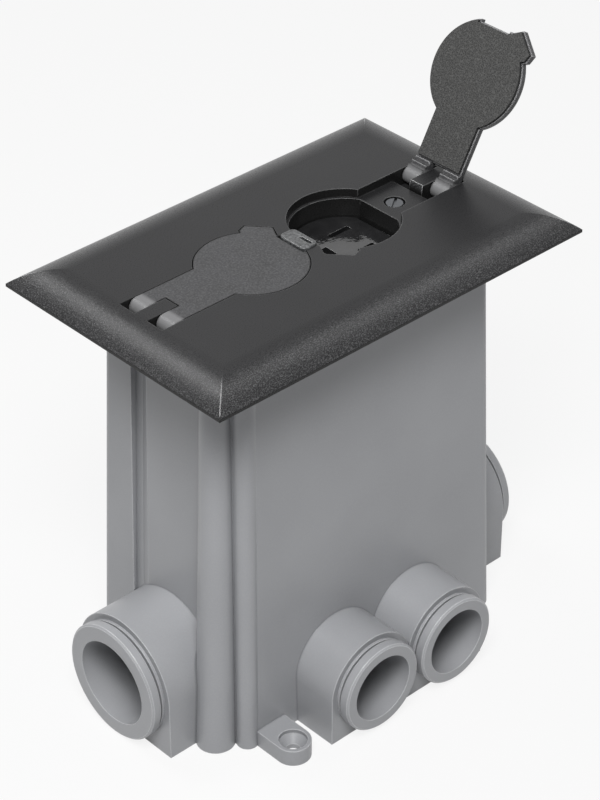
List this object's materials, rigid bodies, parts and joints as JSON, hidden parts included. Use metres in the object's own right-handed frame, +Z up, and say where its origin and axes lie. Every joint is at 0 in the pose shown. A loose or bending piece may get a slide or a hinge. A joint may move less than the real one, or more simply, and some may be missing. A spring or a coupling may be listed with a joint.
{
  "type": "floor socket box",
  "caption": "Floor box with a levelled cover plate, flip lids over a duplex receptacle, and conduit hubs at the base of a tapering body.",
  "frame": {"origin": "centre of the box's underside, on the surface it stands on", "axes": "+Z up out of the floor, +X along the cover's long side from the closed lid to the open lid, +Y away from the pair of side hubs"},
  "size_m": [0.1698, 0.111, 0.1981],
  "materials": {
    "box_plastic": "moulded grey PVC, faint grain, satin",
    "bushing_plastic": "moulded grey PVC, slightly smoother than the box",
    "cover_plastic": "black moulded plastic with a fine grain",
    "lid_plastic": "black moulded plastic, fine leather-like grain",
    "gasket_foam": "closed-cell black foam rubber",
    "catch_plastic": "pale grey moulded plastic",
    "receptacle_plastic": "dark moulded nylon, low gloss",
    "zinc_steel": "bright zinc-plated steel",
    "contact_brass": "plain stamped brass",
    "ground_green": "green dyed zinc plating"
  },
  "bodies": {
    "housing": {"box_body": "box_plastic", "side_hub_bushing_left": "bushing_plastic", "side_hub_bushing_right": "bushing_plastic", "end_hub_bushing_left": "bushing_plastic", "end_hub_bushing_right": "bushing_plastic", "leveling_frame": "box_plastic", "frame_screws": "zinc_steel", "cover_gasket": "gasket_foam", "cover_plate": "cover_plastic", "cover_screws": "zinc_steel", "lid_catch": "catch_plastic", "hinge_pin_left": "zinc_steel", "hinge_pin_right": "zinc_steel", "mounting_strap": "zinc_steel", "receptacle_face": "receptacle_plastic", "receptacle_back": "receptacle_plastic", "hot_contacts": "contact_brass", "neutral_contacts": "contact_brass", "ground_contacts": "contact_brass", "brass_terminal_screws": "contact_brass", "silver_terminal_screws": "zinc_steel", "ground_terminal_screw": "ground_green"},
    "left_flip_lid": {"left_lid": "lid_plastic", "left_lid_seal": "gasket_foam"},
    "right_flip_lid": {"right_lid": "lid_plastic", "right_lid_seal": "gasket_foam"}
  },
  "joints": [
    {"name": "left_lid_hinge", "type": "hinge", "parent": "housing", "child": "left_flip_lid", "pos_m": [-0.0574, 0, 0.1494], "axis": [0, -1, 0], "range_deg": [0, 120]},
    {"name": "right_lid_hinge", "type": "hinge", "parent": "housing", "child": "right_flip_lid", "pos_m": [0.0574, 0, 0.1494], "axis": [0, 1, 0], "range_deg": [-120, 0]}
  ]
}
